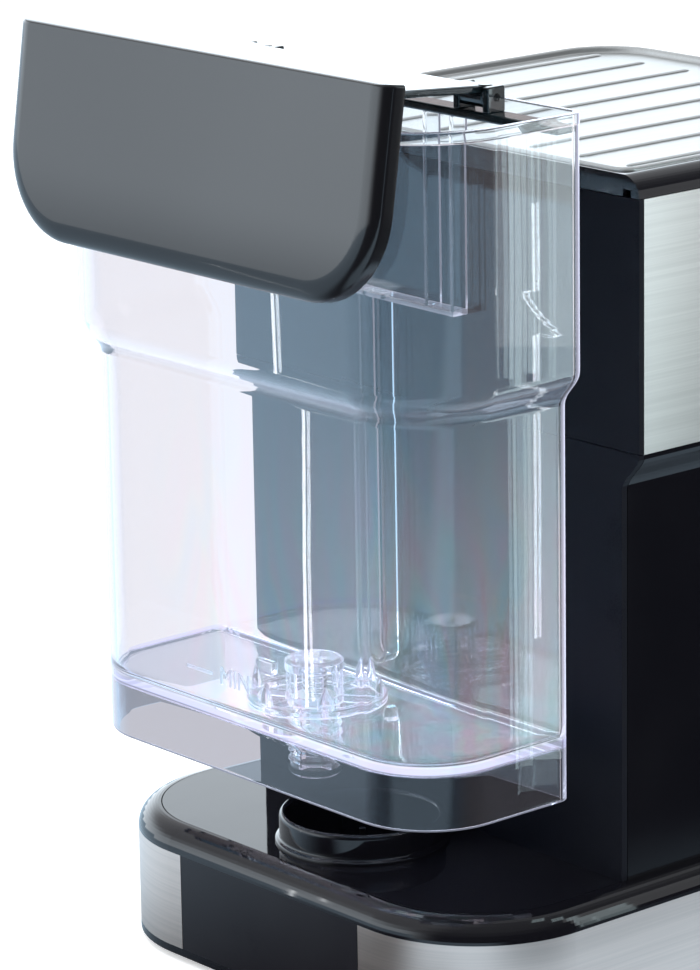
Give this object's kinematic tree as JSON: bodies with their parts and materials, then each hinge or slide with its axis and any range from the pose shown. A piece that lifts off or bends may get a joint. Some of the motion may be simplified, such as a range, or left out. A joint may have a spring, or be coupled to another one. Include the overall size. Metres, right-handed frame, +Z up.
{
  "type": "pod coffee machine",
  "caption": "Pod coffee machine with a lift-off clear water tank, hinged tank lid, capsule door, drip tray and steel cup shelf.",
  "frame": {"origin": "centre of the object's box at table level, with the tank drawn lifted", "axes": "+Z up, -Y towards the front where the cup stands, +X to the right seen from the front"},
  "size_m": [0.212, 0.3254, 0.3445],
  "materials": {
    "gloss_black": "gloss",
    "charcoal": "satin",
    "matte_black": "matte",
    "brushed_steel": "brushed",
    "bright_steel": "polished",
    "clear_tank": "clear",
    "smoked": "gloss",
    "lid_grey": "gloss",
    "black_rubber": "matte",
    "red_rubber": "satin",
    "white_plastic": "satin",
    "aluminium": "cast",
    "coil": "satin",
    "board": "satin",
    "hose": "satin",
    "red_plastic": "gloss"
  },
  "bodies": {
    "machine": {"base_shell": "gloss_black", "deck_plate": "gloss_black", "rear_plinth": "gloss_black", "trim_left": "brushed_steel", "trim_right": "brushed_steel", "base_plate": "matte_black", "feet": "black_rubber", "base_screws": "bright_steel", "cable_gland": "black_rubber", "inlet_collar": "gloss_black", "inlet_nozzle": "white_plastic", "inlet_seal": "black_rubber", "valve_pin": "bright_steel", "tray_bay": "matte_black", "column_shell": "gloss_black", "column_back": "charcoal", "head_shell": "matte_black", "head_back": "charcoal", "side_panel_left": "brushed_steel", "side_panel_right": "brushed_steel", "front_cover": "gloss_black", "top_bezel": "gloss_black", "top_plate": "brushed_steel", "pump_body": "white_plastic", "pump_coil": "coil", "pump_mounts": "black_rubber", "flow_meter": "white_plastic", "suction_hose": "hose", "pressure_hose": "hose", "brew_hose": "hose", "thermoblock": "aluminium", "boiler_bracket": "bright_steel", "thermostat": "bright_steel", "control_board": "board", "button_board": "board", "brew_guide": "matte_black", "coffee_spout": "matte_black", "door_pin": "bright_steel"},
    "tank": {"tank": "clear_tank", "tank_ring": "black_rubber", "valve_cage": "clear_tank", "hinge_frame": "smoked", "hinge_pin": "bright_steel"},
    "valve_poppet": {"valve_poppet": "white_plastic", "valve_spring": "bright_steel"},
    "lid": {"lid_plate": "smoked", "lid_panel": "lid_grey"},
    "capsule_door": {"capsule_door": "gloss_black", "door_handle": "brushed_steel", "capsule_cradle": "matte_black", "capsule_piercer": "bright_steel"},
    "brew_piston": {"brew_piston": "aluminium", "piston_seal": "red_rubber"},
    "power_button": {"power_button": "brushed_steel"},
    "small_cup_button": {"small_cup_button": "brushed_steel"},
    "medium_cup_button": {"medium_cup_button": "brushed_steel"},
    "large_cup_button": {"large_cup_button": "brushed_steel"},
    "drip_tray": {"drip_tray": "matte_black"},
    "drip_grate": {"drip_grate": "brushed_steel"},
    "tray_float": {"tray_float": "red_plastic"}
  },
  "joints": [
    {"name": "tank_lift", "type": "slide", "parent": "machine", "child": "tank", "axis": [0, 0.5015, 0.8651], "range_m": [-0.03978, 0.2]},
    {"name": "valve_press", "type": "slide", "parent": "tank", "child": "valve_poppet", "axis": [0, 0, 1], "range_m": [0, 0.003], "stiffness_N_per_m": 200, "springref_m": -0.004, "deforming": ["valve_spring"]},
    {"name": "lid_hinge", "type": "hinge", "parent": "tank", "child": "lid", "pos_m": [0, 0.07512, 0.3265], "axis": [1, 0, 0], "range_deg": [-8.5, 66.5]},
    {"name": "door_hinge", "type": "hinge", "parent": "machine", "child": "capsule_door", "pos_m": [0, -0.13868, 0.217], "axis": [1, 0, 0], "range_deg": [0, 65]},
    {"name": "piston_slide", "type": "slide", "parent": "machine", "child": "brew_piston", "axis": [0, 1, 0], "range_m": [0, 0.014]},
    {"name": "power_button_press", "type": "slide", "parent": "machine", "child": "power_button", "axis": [0, 1, 0], "range_m": [0, 0.0015], "stiffness_N_per_m": 400, "springref_m": -0.002},
    {"name": "small_cup_button_press", "type": "slide", "parent": "machine", "child": "small_cup_button", "axis": [0, 1, 0], "range_m": [0, 0.0015], "stiffness_N_per_m": 400, "springref_m": -0.002},
    {"name": "medium_cup_button_press", "type": "slide", "parent": "machine", "child": "medium_cup_button", "axis": [0, 1, 0], "range_m": [0, 0.0015], "stiffness_N_per_m": 400, "springref_m": -0.002},
    {"name": "large_cup_button_press", "type": "slide", "parent": "machine", "child": "large_cup_button", "axis": [0, 1, 0], "range_m": [0, 0.0015], "stiffness_N_per_m": 400, "springref_m": -0.002},
    {"name": "tray_slide", "type": "slide", "parent": "machine", "child": "drip_tray", "axis": [0, -1, 0], "range_m": [0, 0.11]},
    {"name": "grate_lift", "type": "slide", "parent": "drip_tray", "child": "drip_grate", "axis": [0, 0, 1], "range_m": [0, 0.06]},
    {"name": "float_rise", "type": "slide", "parent": "drip_tray", "child": "tray_float", "axis": [0, 0, 1], "range_m": [0, 0.005]}
  ],
  "couplings": [
    {"joint": "piston_slide", "follows": "door_hinge", "m_per_rad": 0.01234}
  ]
}
